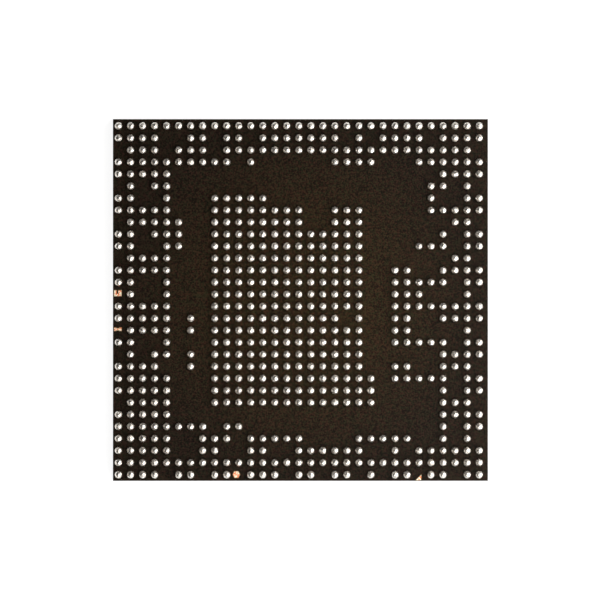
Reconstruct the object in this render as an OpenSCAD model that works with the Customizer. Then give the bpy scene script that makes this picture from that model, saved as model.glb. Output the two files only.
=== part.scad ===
// Fine-pitch ball grid array package: a flip-chip die on a laminate substrate,
// under a moulded cap, with a partly filled array of solder balls.
//
// The package lies on the flat face of its cap, ball side up. The origin is the
// centre of that face. X runs along the rows of balls and Y along the columns,
// and row A lies at the +Y edge.

/* [Package body] */
// Body size along a row of balls
body_x = 12.48; // [12.46:0.02:13.2]
// Body size along a column of balls
body_y = 12.04; // [12.0:0.02:12.8]
// Thickness of the moulded cap, from its flat face to the substrate
cap_height = 0.45; // [0.42:0.01:0.8]
// Thickness of the drilled laminate core
core_height = 0.21; // [0.1:0.01:0.4]

/* [Ball array] */
// Spacing of the ball sites along both axes
pitch = 0.4; // [0.38:0.01:0.41]
// Widest diameter of a ball after reflow
ball_diameter = 0.26; // [0.25:0.005:0.28]
// How far the array sits from the body's centre along X, a sawing tolerance
array_shift_x = -0.052; // [-0.06:0.002:0.06]
// The same along Y
array_shift_y = -0.01; // [-0.05:0.002:0.05]

/* [Solder mask and copper] */
// Height of each copper layer over the laminate
copper_height = 0.015; // [0.01:0.001:0.02]
// Height of the mask over the copper, on both sides
mask_over_copper = 0.015; // [0.01:0.001:0.02]
// Diameter of the mask opening that a ball is soldered through
opening_diameter = 0.23; // [0.2:0.005:0.24]
// Diameter of the copper land under a ball, wider than the opening
land_diameter = 0.29; // [0.26:0.005:0.3]
// Diameter of a plated and filled via
via_diameter = 0.1; // [0.08:0.01:0.14]
// Diameter of the copper pads on the die side
pad_diameter = 0.16; // [0.16:0.01:0.2]
// Width of the copper tracks on the die side
track_width = 0.04; // [0.03:0.005:0.06]
// Bare laminate left around a copper mark inside its mask window
window_gap = 0.015; // [0.01:0.001:0.02]

/* [Die] */
// Die size along X
die_x = 8.0; // [7.0:0.1:9.0]
// Die size along Y
die_y = 8.4; // [7.4:0.1:9.0]
// Thickness of the thinned die
die_height = 0.2; // [0.1:0.01:0.22]
// Gap between the die and the substrate's mask
die_gap = 0.06; // [0.05:0.005:0.08]
// Diameter of a copper pillar
pillar_diameter = 0.08; // [0.06:0.01:0.1]
// Distance of the outer pillars from the edge of the die
pillar_inset = 0.12; // [0.1:0.01:0.15]
// How far the underfill spreads past the die, where it meets the substrate
fillet_spread = 0.3; // [0.2:0.02:0.6]
// How far the underfill climbs the sides of the die
fillet_climb = 0.13; // [0.06:0.01:0.15]

/* [Orientation marks] */
// Diameter of the shallow dimple in the cap's face, at the corner of row A
dimple_diameter = 0.8; // [0.5:0.05:1.2]
// Depth of that dimple
dimple_depth = 0.03; // [0.02:0.005:0.05]
// Distance of the dimple's centre from both edges of the cap
dimple_inset = 1.0; // [0.8:0.1:2]
// Width of the copper marks in the empty sites
mark_size = 0.24; // [0.18:0.01:0.25]
// Width of a mark's strokes
mark_stroke = 0.06; // [0.05:0.005:0.07]
// How far the marks beside the -X edge sit from their sites along X
side_mark_shift_x = -0.025; // [-0.03:0.005:0.1]
// The same along Y
side_mark_shift_y = 0.035; // [-0.06:0.005:0.06]
// How far the hexagon sits from its site along X
hexagon_shift_x = -0.08; // [-0.08:0.01:0.08]
// Length of the triangle's equal legs
triangle_leg = 0.165; // [0.12:0.005:0.2]
// How far the triangle's square corner sits from its site along X
triangle_shift_x = 0.07; // [-0.1:0.01:0.1]
// Distance of the triangle from the package's edge
triangle_inset = 0.03; // [0.025:0.005:0.06]

/* [Hidden] */
$fn = 36;

// The balls that are fitted: one string a row, from row A at the +Y edge, with
// one letter a site from the -X edge. An o is a ball and a dot an empty site.
BALL_MAP = [
    "ooooooooooooooooooooooooooooooo",
    "oooo..oo.oo.ooooooo.o.oooo.oooo",
    ".ooo.ooo.ooooooooooooooooooooo.",
    "oooooooooo.o......oooo...oooooo",
    "ooooo......................oooo",
    ".o.oo.....................oo.o.",
    "oo..o...ooooo.............o..oo",
    "ooooo...oooooooo..ooo.....ooooo",
    ".ooooo..oooooooo..ooo.......oo.",
    "oo.ooo..ooooooooooooo......o.oo",
    "oo..oo..ooooooooooooo....ooo.oo",
    ".oooo...ooooooooooooo.......oo.",
    "ooooo...ooooooooooooo..oo..oooo",
    "oo..o...ooooooooooooo..ooooo.oo",
    ".o..o...ooooooooooooo..ooo...o.",
    "ooooo...ooooooooooooo..oooooooo",
    "ooooo.o.ooooooooooo.o..oo..oooo",
    ".oooo.o.ooooooooooooo..oo....o.",
    "oo..o...ooooooooooooo..ooooo.oo",
    ".o.oo.o.ooooooooooooo......oooo",
    "oooo..o.ooooooooooooo..oo..ooo.",
    "ooooo...oooooooooooooo.ooooo.oo",
    "ooooo...oooooooooooooo.....o.oo",
    ".oooo...oooooooooooooo.....ooo.",
    "ooooo......................oooo",
    "oooooooo.oo................o.oo",
    "ooooo..ooo.ooooo....ooooo..o.o.",
    "ooooo..oo..oo..oooooo..o.oooooo",
    "ooooooooooooooooooooooooooooooo",
    "oooo.oo.oo.ooo.oo.oo.o.oo.oo.oo",
];
ROWS = len(BALL_MAP);
COLUMNS = len(BALL_MAP[0]);

// Rows are lettered as on a real package: no i, o, q, s, x or z, then aa, ab on
LETTERS = "abcdefghjklmnprtuvwy";
function row_name(row) = row < len(LETTERS)
    ? str("ball_row_", LETTERS[row])
    : str("ball_row_a", LETTERS[row - len(LETTERS)]);

// Heights of the layers, from the face that the package lies on
die_mask_z = cap_height;
die_copper_z = die_mask_z + mask_over_copper;
core_z = die_copper_z + copper_height;
ball_copper_z = core_z + core_height;
ball_mask_z = ball_copper_z + copper_height;
ball_side_z = ball_mask_z + mask_over_copper;
die_top_z = cap_height - die_gap;
die_bottom_z = die_top_z - die_height;

// A ball is a sphere cut off where it meets the edge of its mask opening
ball_radius = ball_diameter / 2;
opening_radius = opening_diameter / 2;
ball_centre_z = ball_side_z + sqrt(ball_radius ^ 2 - opening_radius ^ 2);

// More than any height of the package, for cuts that go right through
through = 2;

function site_x(column) = (column - (COLUMNS - 1) / 2) * pitch + array_shift_x;
function site_y(row) = ((ROWS - 1) / 2 - row) * pitch + array_shift_y;
function has_ball(row, column) = BALL_MAP[row][column] == "o";

// The rows and columns of sites that lie under the die
edge_x = (die_x - pitch) / 2;
edge_y = (die_y - pitch) / 2;
ROWS_UNDER = [for (row = [0 : ROWS - 1]) if (abs(site_y(row)) < edge_y) row];
COLUMNS_UNDER = [for (column = [0 : COLUMNS - 1]) if (abs(site_x(column)) < edge_x) column];

// Places of the balls past one edge of the die, along a row and along a column
function past_x(row, side) = [for (column = [0 : COLUMNS - 1])
    if (has_ball(row, column) && side * site_x(column) > edge_x) side * site_x(column)];
function past_y(column, side) = [for (row = [0 : ROWS - 1])
    if (has_ball(row, column) && side * site_y(row) > edge_y) side * site_y(row)];

// Tracks on the die side: each runs straight from the nearest ball past the die's
// edge to a pillar just inside that edge, as [ball, pillar]
TRACKS = concat(
    [for (side = [-1, 1], row = ROWS_UNDER) [
        [side * min(past_x(row, side)), site_y(row)],
        [side * (die_x / 2 - pillar_inset), site_y(row)],
    ]],
    [for (side = [-1, 1], column = COLUMNS_UNDER) [
        [site_x(column), side * min(past_y(column, side))],
        [site_x(column), side * (die_y / 2 - pillar_inset)],
    ]]
);

// Puts its children on every ball site of one row
module at_balls_of(row) {
    for (column = [0 : COLUMNS - 1])
        if (has_ball(row, column))
            translate([site_x(column), site_y(row)]) children();
}

module at_every_ball() {
    for (row = [0 : ROWS - 1]) at_balls_of(row) children();
}

// A pillar stands over each ball under the die, and at the end of each track
module at_every_pillar() {
    for (row = ROWS_UNDER)
        for (column = COLUMNS_UNDER)
            if (has_ball(row, column))
                translate([site_x(column), site_y(row)]) children();
    for (track = TRACKS) translate(track[1]) children();
}

module body_outline() {
    square([body_x, body_y], center = true);
}

module layer(z, height) {
    translate([0, 0, z]) linear_extrude(height) children();
}

// ---- Cap, die and underfill ----

// The block that the die and its underfill take up inside the cap
module die_block() {
    translate([-die_x / 2, -die_y / 2, die_bottom_z]) cube([die_x, die_y, die_height]);
}

// Side view of the underfill across a die of the given width
module fillet_profile(width) {
    polygon([
        [-width / 2 - fillet_spread, cap_height],
        [width / 2 + fillet_spread, cap_height],
        [width / 2, die_top_z - fillet_climb],
        [-width / 2, die_top_z - fillet_climb],
    ]);
}

// The underfill's outside: a frustum, as the two side views cut it
module fillet_block() {
    intersection() {
        rotate([90, 0, 0])
            linear_extrude(2 * body_y, center = true) fillet_profile(die_x);
        rotate([90, 0, 90])
            linear_extrude(2 * body_x, center = true) fillet_profile(die_y);
    }
}

module mould_cap() {
    color("#1c1b1a") difference() {
        layer(0, cap_height) body_outline();
        die_block();
        fillet_block();
        translate([body_x / 2 - dimple_inset, body_y / 2 - dimple_inset, -through])
            cylinder(d = dimple_diameter, h = through + dimple_depth);
    }
}

module silicon_die() {
    color("#5b5f66") die_block();
}

module underfill() {
    color("#2b2620") difference() {
        fillet_block();
        die_block();
        at_every_pillar() cylinder(d = pillar_diameter, h = through);
    }
}

// Copper pillars from the die's face through the mask to the die-side pads
module die_pillars() {
    color("#c9763f") at_every_pillar()
        translate([0, 0, die_top_z])
            cylinder(d = pillar_diameter, h = die_copper_z - die_top_z);
}

// ---- Substrate ----

// Outline of the die-side copper: a pad over each via and under each pillar
module die_copper_outline() {
    at_every_ball() circle(d = pad_diameter);
    for (track = TRACKS) {
        run = track[1] - track[0];
        translate(track[1]) circle(d = pad_diameter);
        translate((track[0] + track[1]) / 2)
            square([max(abs(run.x), track_width), max(abs(run.y), track_width)], center = true);
    }
}

module die_side_mask() {
    color("#3a2c20") union() {
        layer(die_mask_z, mask_over_copper) difference() {
            body_outline();
            at_every_pillar() circle(d = pillar_diameter);
        }
        layer(die_copper_z, copper_height) difference() {
            body_outline();
            die_copper_outline();
        }
    }
}

module die_side_copper() {
    color("#c9763f") layer(die_copper_z, copper_height) die_copper_outline();
}

module substrate_core() {
    color("#8a7b45") layer(core_z, core_height) difference() {
        body_outline();
        at_every_ball() circle(d = via_diameter);
    }
}

module core_vias() {
    color("#c9763f") layer(core_z, core_height)
        at_every_ball() circle(d = via_diameter);
}

module ball_lands() {
    color("#c9763f") layer(ball_copper_z, copper_height)
        at_every_ball() circle(d = land_diameter);
}

module ball_side_mask() {
    color("#32261c") union() {
        layer(ball_copper_z, copper_height) difference() {
            body_outline();
            at_every_ball() circle(d = land_diameter);
            index_shapes(window_gap);
        }
        layer(ball_mask_z, mask_over_copper) difference() {
            body_outline();
            at_every_ball() circle(d = opening_diameter);
            index_shapes(window_gap);
        }
    }
}

// ---- Bare copper marks in empty sites, with grow as the room round them ----

module bar(length, width, grow) {
    square([length + 2 * grow, width + 2 * grow], center = true);
}

// A pad with a slot cut in from its +Y side
module slotted_mark(grow) {
    height = 0.8 * mark_size;
    slot_depth = 0.6 * height;
    difference() {
        bar(mark_size, height, grow);
        translate([-mark_stroke / 4, (height - slot_depth) / 2 + grow])
            square([mark_stroke - 2 * grow, slot_depth], center = true);
    }
}

// A bar with a wider foot at each end
module footed_mark(grow) {
    bar(mark_size, mark_stroke, grow);
    for (side = [-1, 1])
        translate([side * (mark_size - mark_stroke) / 2, 0])
            bar(mark_stroke, 1.8 * mark_stroke, grow);
}

// Six sides, with flats at +Y and -Y
module hexagon_mark(grow) {
    circle(d = mark_size + 2 * grow / cos(30), $fn = 6);
}

// Two equal legs along the package's edge and up from it
module triangle_mark(grow) {
    reach = triangle_leg + (1 + sqrt(2)) * grow;
    polygon([[grow, -grow], [grow, reach], [-reach, -grow]]);
}

module index_shapes(grow = 0) {
    side_mark_x = site_x(0) + side_mark_shift_x;
    translate([side_mark_x, site_y(14) + side_mark_shift_y]) slotted_mark(grow);
    translate([side_mark_x, site_y(17) + side_mark_shift_y]) footed_mark(grow);
    translate([site_x(10) + hexagon_shift_x, site_y(29)]) hexagon_mark(grow);
    translate([site_x(25) + triangle_shift_x, triangle_inset - body_y / 2])
        triangle_mark(grow);
}

module index_marks() {
    color("#e8743c") layer(ball_copper_z, copper_height) index_shapes();
}

// ---- Solder balls ----

// A reflowed ball: its rounded body, and the solder that fills the mask opening
module solder_ball() {
    difference() {
        translate([0, 0, ball_centre_z]) sphere(d = ball_diameter);
        translate([0, 0, ball_side_z - through]) cylinder(d = pitch, h = through);
    }
    translate([0, 0, ball_mask_z])
        cylinder(d = opening_diameter, h = mask_over_copper);
}

module ball_row(row) {
    color("#d8d3cb") at_balls_of(row) solder_ball();
}

mould_cap();
silicon_die();
die_pillars();
underfill();
die_side_mask();
die_side_copper();
substrate_core();
core_vias();
ball_lands();
index_marks();
ball_side_mask();
for (row = [0 : ROWS - 1])
    ball_row(row);
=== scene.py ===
"""Looks of a fine-pitch ball grid array package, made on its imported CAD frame.

The package lies on the flat face of its cap, with its solder balls up. The CAD
solids keep their shapes and get procedural materials, and each row of balls is
replaced by a mesh of the same size in which no two reflowed balls are alike.
"""
import math
import random

import bpy
import numpy as np
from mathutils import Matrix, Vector, noise


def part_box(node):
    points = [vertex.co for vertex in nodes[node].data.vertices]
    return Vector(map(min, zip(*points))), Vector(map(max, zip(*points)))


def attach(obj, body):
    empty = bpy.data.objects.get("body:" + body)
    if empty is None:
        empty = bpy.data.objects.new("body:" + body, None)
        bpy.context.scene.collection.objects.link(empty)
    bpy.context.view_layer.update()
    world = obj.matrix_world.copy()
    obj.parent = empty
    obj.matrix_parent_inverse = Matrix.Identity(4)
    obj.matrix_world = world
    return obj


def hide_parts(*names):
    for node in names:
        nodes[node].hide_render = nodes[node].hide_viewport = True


MM = 0.001
MICRON = 0.000001

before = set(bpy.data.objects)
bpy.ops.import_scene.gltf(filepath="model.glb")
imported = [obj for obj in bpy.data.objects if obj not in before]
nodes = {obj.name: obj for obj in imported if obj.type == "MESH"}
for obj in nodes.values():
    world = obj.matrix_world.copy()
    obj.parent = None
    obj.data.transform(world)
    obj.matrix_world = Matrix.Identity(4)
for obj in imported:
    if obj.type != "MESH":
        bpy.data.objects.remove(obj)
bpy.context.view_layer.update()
mask_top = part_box("ball_side_mask")[1].z


# ---- Materials -------------------------------------------------------------


def add_node(tree, kind, inputs, **settings):
    """Adds a node. An input is a number, a colour or another node's output."""
    made = tree.nodes.new(kind)
    for name, value in settings.items():
        setattr(made, name, value)
    for socket, value in inputs.items():
        if isinstance(value, bpy.types.NodeSocket):
            tree.links.new(value, made.inputs[socket])
        else:
            made.inputs[socket].default_value = value
    return made


def add_maths(tree, operation, first, second=0.0):
    return add_node(
        tree, "ShaderNodeMath", {0: first, 1: second}, operation=operation
    ).outputs[0]


class Shader:
    """A material with one Principled shader, and short calls that add nodes to it."""

    def __init__(self, name, **sockets):
        self.material = bpy.data.materials.new(name)
        self.material.use_nodes = True
        self.tree = self.material.node_tree
        self.surface = self.tree.nodes["Principled BSDF"]
        self.place = self.tree.nodes.new("ShaderNodeTexCoord").outputs["Object"]
        for socket, value in sockets.items():
            self.surface.inputs[socket.replace("_", " ")].default_value = value

    def node(self, kind, inputs, **settings):
        return add_node(self.tree, kind, inputs, **settings)

    def stretched(self, x, y, z):
        """Object coordinates divided by a length along each axis."""
        inputs = {"Vector": self.place, "Scale": (1 / x, 1 / y, 1 / z)}
        return self.node("ShaderNodeMapping", inputs).outputs[0]

    def noise(self, size, detail=2.0, contrast=0.5, vector=None):
        """Noise from 0 to 1 whose features are about size metres across."""
        inputs = {
            "Vector": vector or self.stretched(size, size, size),
            "Scale": 1.0,
            "Detail": detail,
            "Roughness": contrast,
        }
        return self.node("ShaderNodeTexNoise", inputs).outputs["Fac"]

    def cells(self, size):
        """Distance from the nearest of points about size metres apart."""
        inputs = {"Vector": self.stretched(size, size, size), "Scale": 1.0}
        return self.node("ShaderNodeTexVoronoi", inputs).outputs["Distance"]

    def maths(self, operation, first, second=0.0):
        return add_maths(self.tree, operation, first, second)

    def spread(self, value, low, high, out_low=0.0, out_high=1.0):
        """Maps low..high to out_low..out_high, and holds it there."""
        inputs = {
            "Value": value,
            "From Min": low,
            "From Max": high,
            "To Min": out_low,
            "To Max": out_high,
        }
        return self.node("ShaderNodeMapRange", inputs, clamp=True).outputs["Result"]

    def blend(self, share, first, second):
        """A colour between two others."""
        # The node has a set of sockets for each data type: 6, 7 and 2 are the colours
        inputs = {0: share, 6: first, 7: second}
        return self.node("ShaderNodeMix", inputs, data_type="RGBA").outputs[2]

    def bump(self, height, depth, under=None):
        """Bumps depth metres high, over the bumps that under gives."""
        inputs = {"Height": height, "Distance": depth, "Strength": 1.0}
        if under:
            inputs["Normal"] = under
        return self.node("ShaderNodeBump", inputs).outputs["Normal"]

    def feed(self, **sources):
        """Links outputs to the Principled shader's sockets."""
        for socket, value in sources.items():
            self.tree.links.new(value, self.surface.inputs[socket.replace("_", " ")])
        return self.material


def srgb(red, green, blue):
    """A linear colour from display values of 0 to 255."""

    def linear(value):
        share = value / 255
        return share / 12.92 if share <= 0.04045 else ((share + 0.055) / 1.055) ** 2.4

    return (linear(red), linear(green), linear(blue), 1.0)


def solder():
    """Reflowed tin solder: bright, with a frosted grain, dull patches and handling marks."""
    made = Shader("solder", Metallic=1.0)
    patches = made.noise(0.06 * MM, detail=3.0, contrast=0.6)
    grain = made.noise(0.012 * MM, detail=3.0, contrast=0.65)
    facets = made.cells(0.05 * MM)
    colour = made.blend(
        made.spread(patches, 0.38, 0.62), srgb(206, 198, 187), srgb(244, 240, 234)
    )
    roughness = made.spread(grain, 0.3, 0.7, 0.17, 0.32)
    shape = made.bump(facets, 8 * MICRON)
    shape = made.bump(patches, 14 * MICRON, shape)
    shape = made.bump(grain, 1.0 * MICRON, shape)
    return made.feed(Base_Color=colour, Roughness=roughness, Normal=shape)


def solder_mask():
    """Dark brown mask, a little glossy, mottled brown and green where the glass below just
    shows, and painted lighter and warmer towards its centre: painted light.
    """
    made = Shader("solder_mask", IOR=1.5, Specular_IOR_Level=0.05)
    mottle = made.noise(0.05 * MM, detail=3.0, contrast=0.7)
    tint = made.noise(0.07 * MM, detail=3.0, contrast=0.7)
    from_centre = made.node(
        "ShaderNodeVectorMath", {0: made.stretched(MM, MM, MM)}, operation="LENGTH"
    ).outputs["Value"]
    shade = made.spread(mottle, 0.38, 0.62)
    greenness = made.spread(tint, 0.42, 0.58)

    def film(dark_brown, brown, dark_green, green):
        """Patches of brown and of green, each mottled from dark to light."""
        return made.blend(
            greenness,
            made.blend(shade, srgb(*dark_brown), srgb(*brown)),
            made.blend(shade, srgb(*dark_green), srgb(*green)),
        )

    # Painted light: the inner film is lighter and warmer and holds within 2 mm of the centre,
    # fading to the darker outer film by 6 mm
    inner = film((20, 9, 4), (62, 40, 25), (12, 11, 4), (48, 45, 25))
    outer = film((13, 6, 4), (48, 31, 24), (8, 7, 3), (37, 35, 23))
    colour = made.blend(made.spread(from_centre, 2.0, 6.0), inner, outer)
    peel = made.noise(0.15 * MM, detail=2.0)
    shape = made.bump(peel, 1.5 * MICRON)
    shape = made.bump(mottle, 0.8 * MICRON, shape)
    roughness = made.spread(mottle, 0.3, 0.7, 0.38, 0.52)
    return made.feed(Base_Color=colour, Roughness=roughness, Normal=shape)


def mould_compound():
    """Black filled epoxy: fine matt grain on its face, saw marks along its cut sides."""
    made = Shader("mould_compound", IOR=1.5)
    filler = made.noise(0.02 * MM, detail=3.0, contrast=0.7)
    clouds = made.noise(1.2 * MM, detail=3.0)
    saw = made.noise(1.0, vector=made.stretched(1.5 * MM, 1.5 * MM, 0.012 * MM), detail=2.0)
    normal = made.node("ShaderNodeNewGeometry", {}).outputs["True Normal"]
    upright = made.node("ShaderNodeSeparateXYZ", {0: normal}).outputs["Z"]
    side = made.spread(made.maths("ABSOLUTE", upright), 0.9, 0.5)
    marks = made.maths("MULTIPLY", saw, side)
    grey = made.blend(made.spread(clouds, 0.3, 0.7), srgb(27, 27, 28), srgb(36, 35, 35))
    colour = made.blend(made.spread(filler, 0.62, 0.75), grey, srgb(66, 65, 63))
    shape = made.bump(marks, 6 * MICRON)
    shape = made.bump(filler, 1.6 * MICRON, shape)
    roughness = made.spread(filler, 0.3, 0.7, 0.5, 0.7)
    return made.feed(Base_Color=colour, Roughness=roughness, Normal=shape)


def laminate():
    """Drilled core, sawn through: glass bundles in yellowish resin, with saw marks."""
    made = Shader("laminate", IOR=1.52)
    bundles = made.noise(1.0, vector=made.stretched(0.35 * MM, 0.35 * MM, 0.05 * MM), detail=1.0)
    fibres = made.noise(1.0, vector=made.stretched(0.03 * MM, 0.03 * MM, 0.008 * MM), detail=2.0)
    saw = made.noise(1.0, vector=made.stretched(1.5 * MM, 1.5 * MM, 0.01 * MM), detail=2.0)
    glass = made.blend(made.spread(fibres, 0.35, 0.65), srgb(140, 124, 74), srgb(196, 184, 132))
    resin = made.blend(made.spread(fibres, 0.35, 0.65), srgb(104, 88, 44), srgb(126, 110, 60))
    colour = made.blend(made.spread(bundles, 0.45, 0.55), resin, glass)
    shape = made.bump(saw, 3 * MICRON)
    shape = made.bump(fibres, 2 * MICRON, shape)
    roughness = made.spread(fibres, 0.3, 0.7, 0.45, 0.65)
    return made.feed(Base_Color=colour, Roughness=roughness, Normal=shape)


def bare_copper():
    """Etched copper marks: orange, with pale patches painted into the colour as glints, a
    painted highlight.
    """
    made = Shader("bare_copper", Metallic=0.5)
    glints = made.noise(0.05 * MM, detail=2.0, contrast=0.5)
    grain = made.noise(0.01 * MM, detail=3.0, contrast=0.6)
    orange = made.blend(made.spread(grain, 0.3, 0.7), srgb(240, 112, 58), srgb(255, 150, 92))
    # Pale cream patches painted into the colour stand in for glints: a painted highlight
    colour = made.blend(made.spread(glints, 0.48, 0.54), orange, srgb(255, 246, 218))
    shape = made.bump(glints, 4 * MICRON)
    shape = made.bump(grain, 2 * MICRON, shape)
    roughness = made.spread(grain, 0.3, 0.7, 0.5, 0.65)
    return made.feed(Base_Color=colour, Roughness=roughness, Normal=shape)


def copper(name, bright, dull, grain_depth):
    """Copper from a bright colour to a duller one, with an etched grain."""
    made = Shader(name, Metallic=1.0)
    patches = made.noise(0.05 * MM, detail=3.0, contrast=0.6)
    grain = made.noise(0.01 * MM, detail=3.0, contrast=0.6)
    colour = made.blend(made.spread(patches, 0.4, 0.62), dull, bright)
    shape = made.bump(patches, 3 * grain_depth)
    shape = made.bump(grain, grain_depth, shape)
    roughness = made.spread(grain, 0.3, 0.7, 0.28, 0.46)
    return made.feed(Base_Color=colour, Roughness=roughness, Normal=shape)


def silicon():
    """Ground back of the die: grey, faintly streaked by the grinding wheel."""
    made = Shader("silicon", Metallic=0.85)
    streaks = made.noise(1.0, vector=made.stretched(2 * MM, 0.02 * MM, 0.02 * MM), detail=2.0)
    colour = made.blend(made.spread(streaks, 0.3, 0.7), srgb(92, 96, 104), srgb(118, 122, 128))
    roughness = made.spread(streaks, 0.3, 0.7, 0.22, 0.36)
    return made.feed(
        Base_Color=colour, Roughness=roughness, Normal=made.bump(streaks, 0.5 * MICRON)
    )


def underfill():
    """Epoxy that crept under the die: dark, smooth, with fine filler."""
    made = Shader("underfill", IOR=1.5)
    filler = made.noise(0.015 * MM, detail=3.0, contrast=0.7)
    colour = made.blend(made.spread(filler, 0.4, 0.7), srgb(38, 34, 30), srgb(56, 50, 43))
    roughness = made.spread(filler, 0.3, 0.7, 0.32, 0.5)
    return made.feed(
        Base_Color=colour, Roughness=roughness, Normal=made.bump(filler, 1 * MICRON)
    )


def dress(node, material):
    """Gives a CAD node its material."""
    piece = nodes[node]
    piece.data.materials.clear()
    piece.data.materials.append(material)


def dress_cad():
    mask = solder_mask()
    inner_copper = copper("copper", srgb(214, 140, 100), srgb(176, 104, 70), 0.6 * MICRON)
    dress("mould_cap", mould_compound())
    dress("silicon_die", silicon())
    dress("underfill", underfill())
    dress("substrate_core", laminate())
    dress("index_marks", bare_copper())
    for node in ("die_side_mask", "ball_side_mask"):
        dress(node, mask)
    for node in ("die_pillars", "die_side_copper", "core_vias", "ball_lands"):
        dress(node, inner_copper)


# ---- Solder balls ----------------------------------------------------------

ROW_PREFIX = "ball_row_"

# The mesh of one ball: points in a ring, and rings on its rounded part and its neck
AROUND = 28
RINGS = 18
NECK_RINGS = 2

# Unevenness, as shares of a ball's radius: out of round, and smaller waves
OUT_OF_ROUND = 0.03
WAVES = 0.014
# Marks on a ball: how many, degrees from its top, degrees across, and depth
MARKS = (1, 3)
MARK_TILT = (12, 62)
MARK_REACH = (12, 24)
MARK_DEPTH = (0.01, 0.035)


def ball_places(node):
    """Centres of a row's balls along X, their common Y, and their widest radius."""
    count = len(nodes[node].data.vertices)
    points = np.empty(count * 3)
    nodes[node].data.vertices.foreach_get("co", points)
    points = points.reshape(-1, 3)
    across = np.sort(points[:, 0])
    least_gap = 0.05 * MM
    balls = np.split(across, np.flatnonzero(np.diff(across) > least_gap) + 1)
    centres = [(ball[0] + ball[-1]) / 2 for ball in balls]
    row_y = (points[:, 1].min() + points[:, 1].max()) / 2
    radius = (points[:, 1].max() - points[:, 1].min()) / 2
    return centres, row_y, radius


def unit_circle(level, height):
    """One ring of points, level from the upright axis and at the given height."""
    turn = 2 * math.pi * np.arange(AROUND) / AROUND
    return np.stack([level * np.cos(turn), level * np.sin(turn), np.full(AROUND, height)], 1)


def ball_directions(neck_angle):
    """Unit vectors over a ball, from the ring where it leaves its mask opening to the top."""
    rings = []
    for ring in range(RINGS):
        angle = neck_angle + (math.pi / 2 - neck_angle) * ring / RINGS
        rings.append(unit_circle(math.cos(angle), math.sin(angle)))
    return np.concatenate(rings + [np.array([[0.0, 0.0, 1.0]])])


def marks(dice):
    """Small dents on the upper half of a ball, as (direction, cosine of its reach, depth)."""
    made = []
    for _ in range(dice.randint(*MARKS)):
        tilt = math.radians(dice.uniform(*MARK_TILT))
        turn = dice.uniform(0, 2 * math.pi)
        direction = np.array(
            [math.sin(tilt) * math.cos(turn), math.sin(tilt) * math.sin(turn), math.cos(tilt)]
        )
        reach = math.radians(dice.uniform(*MARK_REACH))
        made.append((direction, math.cos(reach), dice.uniform(*MARK_DEPTH)))
    return made


def ball_points(directions, radius, dice):
    """Points of one irregular ball round its own centre."""
    swell = np.ones(len(directions))
    offset = Vector([dice.uniform(-50, 50) for _ in range(3)])
    for index, direction in enumerate(directions):
        place = Vector(direction)
        swell[index] += OUT_OF_ROUND * noise.noise(1.1 * place + offset)
        swell[index] += WAVES * noise.noise(3.2 * place - offset)
    for direction, reach, depth in marks(dice):
        facing = directions @ direction
        share = np.clip((facing - reach) / (1 - reach), 0, 1)
        swell -= depth * share * share * (3 - 2 * share)
    return directions * (radius * swell)[:, None]


def ball_mesh_faces():
    """Faces of one ball: rings from the land up, closed by a fan at each end."""
    rows = NECK_RINGS + RINGS
    bottom = rows * AROUND + 1
    top = rows * AROUND
    faces = []
    for side in range(AROUND):
        following = (side + 1) % AROUND
        faces.append((bottom, following, side))
        for row in range(rows - 1):
            below = row * AROUND
            above = below + AROUND
            faces.append((below + side, below + following, above + following, above + side))
        last = (rows - 1) * AROUND
        faces.append((last + side, last + following, top))
    return faces


def solder_row(node, material, faces, dice):
    """One row of reflowed balls, each soldered to its land through its mask opening."""
    low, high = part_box(node)
    centres, row_y, radius = ball_places(node)
    centre_z = high.z - radius
    neck_angle = math.asin((mask_top - centre_z) / radius)
    opening = radius * math.cos(neck_angle)
    directions = ball_directions(neck_angle)
    neck = unit_circle(opening, 0.0)
    vertices, all_faces = [], []
    for centre_x in centres:
        start = sum(len(part) for part in vertices)
        centre = np.array([centre_x, row_y, centre_z])
        for height in (low.z, (low.z + mask_top) / 2):
            vertices.append(neck + [centre_x, row_y, height])
        ball = ball_points(directions, radius, dice) + centre
        ball[:, 2] = np.clip(ball[:, 2], mask_top, high.z)
        vertices.append(ball)
        vertices.append(np.array([[centre_x, row_y, low.z]]))
        all_faces += [tuple(start + corner for corner in face) for face in faces]
    mesh = bpy.data.meshes.new(node.replace(ROW_PREFIX, "solder_row_"))
    mesh.from_pydata(np.concatenate(vertices).tolist(), [], all_faces)
    mesh.shade_smooth()
    mesh.materials.append(material)
    piece = bpy.data.objects.new(mesh.name, mesh)
    bpy.context.scene.collection.objects.link(piece)
    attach(piece, "root")
    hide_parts(node)


def solder_balls():
    material = solder()
    faces = ball_mesh_faces()
    dice = random.Random(31)
    for node in sorted(name for name in nodes if name.startswith(ROW_PREFIX)):
        solder_row(node, material, faces, dice)


# ---- Studio ----------------------------------------------------------------

# What the camera sees across the package, and how far it looks beside its centre
VIEW_WIDTH = 19.97 * MM
VIEW_SHIFT = -0.015 * MM
CAMERA_HEIGHT = 250 * MM
SENSOR = 36.0

# Strength of the light from the level walls, and from straight above and below
WALL_LIGHT = 0.3
CEILING_LIGHT = 0.03

FLOOR_HALF = 2.0
FLOOR_DROP = 0.01 * MM
FLOOR_GLOW = 0.9
FLOOR_COLOUR = (0.35, 0.35, 0.35, 1)


def camera():
    data = bpy.data.cameras.new("camera")
    data.sensor_width = SENSOR
    data.lens = SENSOR * CAMERA_HEIGHT / VIEW_WIDTH
    data.clip_start = 10 * MM
    data.clip_end = 10.0
    made = bpy.data.objects.new("camera", data)
    made.location = (VIEW_SHIFT, 0, mask_top + CAMERA_HEIGHT)
    bpy.context.scene.collection.objects.link(made)
    bpy.context.scene.camera = made


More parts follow.
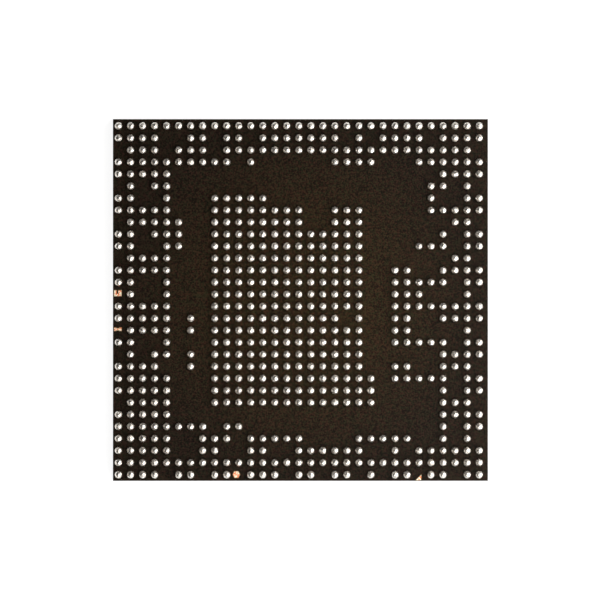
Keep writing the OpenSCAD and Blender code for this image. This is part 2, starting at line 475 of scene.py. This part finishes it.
def soft_light(name, from_upright, bearing, distance, size, power, colour):
    """A lamp that faces the package and isn't seen by the camera.

    Its direction is an angle from +Z and a bearing from +X, in degrees, and its
    size is its level width and its height.
    """
    tilt = math.radians(from_upright)
    turn = math.radians(bearing)
    direction = Vector(
        (math.sin(tilt) * math.cos(turn), math.sin(tilt) * math.sin(turn), math.cos(tilt))
    )
    data = bpy.data.lights.new(name, "AREA")
    data.shape = "RECTANGLE"
    data.size, data.size_y = size
    data.energy = power
    data.color = colour
    made = bpy.data.objects.new(name, data)
    made.location = distance * direction
    made.rotation_euler = (-direction).to_track_quat("-Z", "Y").to_euler()
    made.visible_camera = False
    bpy.context.scene.collection.objects.link(made)


def lights():
    soft_light("key_light", 36, -24, 34 * MM, (82 * MM, 42 * MM), 0.0302, (1.0, 0.99, 0.97))
    soft_light("side_light", 71, -14, 24 * MM, (40 * MM, 13 * MM), 0.0036, (1.0, 0.98, 0.96))
    soft_light("fill_light", 84, 190, 60 * MM, (50 * MM, 14 * MM), 0.0024, (1.0, 0.86, 0.68))


def studio_world():
    """Pale walls round a darker ceiling, and plain white for the camera."""
    world = bpy.data.worlds.new("studio")
    bpy.context.scene.world = world
    world.use_nodes = True
    tree = world.node_tree
    direction = add_node(tree, "ShaderNodeTexCoord", {}).outputs["Generated"]
    height = add_node(tree, "ShaderNodeSeparateXYZ", {0: direction}).outputs["Z"]
    walls = {
        "Value": add_maths(tree, "ABSOLUTE", height),
        "From Min": 0.1,
        "From Max": 0.7,
        "To Min": WALL_LIGHT,
        "To Max": CEILING_LIGHT,
    }
    light = add_node(tree, "ShaderNodeMapRange", walls).outputs["Result"]
    seen = add_node(tree, "ShaderNodeLightPath", {}).outputs["Is Camera Ray"]
    background = tree.nodes["Background"]
    background.inputs["Color"].default_value = (1, 1, 1, 1)
    strength = add_maths(tree, "MAXIMUM", light, seen)
    tree.links.new(strength, background.inputs["Strength"])


def floor():
    """White for the camera and in reflections, shaded by the package, and clear from below."""
    mesh = bpy.data.meshes.new("floor")
    turns = ((-1, -1), (1, -1), (1, 1), (-1, 1))
    corners = [(x * FLOOR_HALF, y * FLOOR_HALF, -FLOOR_DROP) for x, y in turns]
    mesh.from_pydata(corners, [], [(0, 1, 2, 3)])
    made = bpy.data.objects.new("floor", mesh)
    bpy.context.scene.collection.objects.link(made)

    material = bpy.data.materials.new("floor")
    material.use_nodes = True
    mesh.materials.append(material)
    tree = material.node_tree
    tree.nodes.clear()
    rays = add_node(tree, "ShaderNodeLightPath", {}).outputs
    seen = add_maths(tree, "MAXIMUM", rays["Is Camera Ray"], rays["Is Glossy Ray"])
    seen = add_maths(tree, "MAXIMUM", seen, rays["Is Transmission Ray"])
    strength = add_maths(tree, "MULTIPLY", seen, FLOOR_GLOW)
    glow = add_node(tree, "ShaderNodeEmission", {"Strength": strength})
    paper = add_node(tree, "ShaderNodeBsdfDiffuse", {"Color": FLOOR_COLOUR})
    lit = add_node(tree, "ShaderNodeAddShader", {0: glow.outputs[0], 1: paper.outputs[0]})
    # From below, and for light on the face that lies on it, the floor isn't there
    below = add_node(tree, "ShaderNodeNewGeometry", {}).outputs["Backfacing"]
    touching = add_maths(tree, "LESS_THAN", rays["Ray Length"], 2 * FLOOR_DROP)
    gone = add_maths(tree, "MAXIMUM", below, touching)
    clear = add_node(tree, "ShaderNodeBsdfTransparent", {})
    shaders = {0: gone, 1: lit.outputs[0], 2: clear.outputs[0]}
    surface = add_node(tree, "ShaderNodeMixShader", shaders).outputs[0]
    add_node(tree, "ShaderNodeOutputMaterial", {"Surface": surface})


dress_cad()
solder_balls()
camera()
lights()
studio_world()
floor()
bpy.context.scene.view_settings.view_transform = "Standard"

bpy.context.view_layer.update()
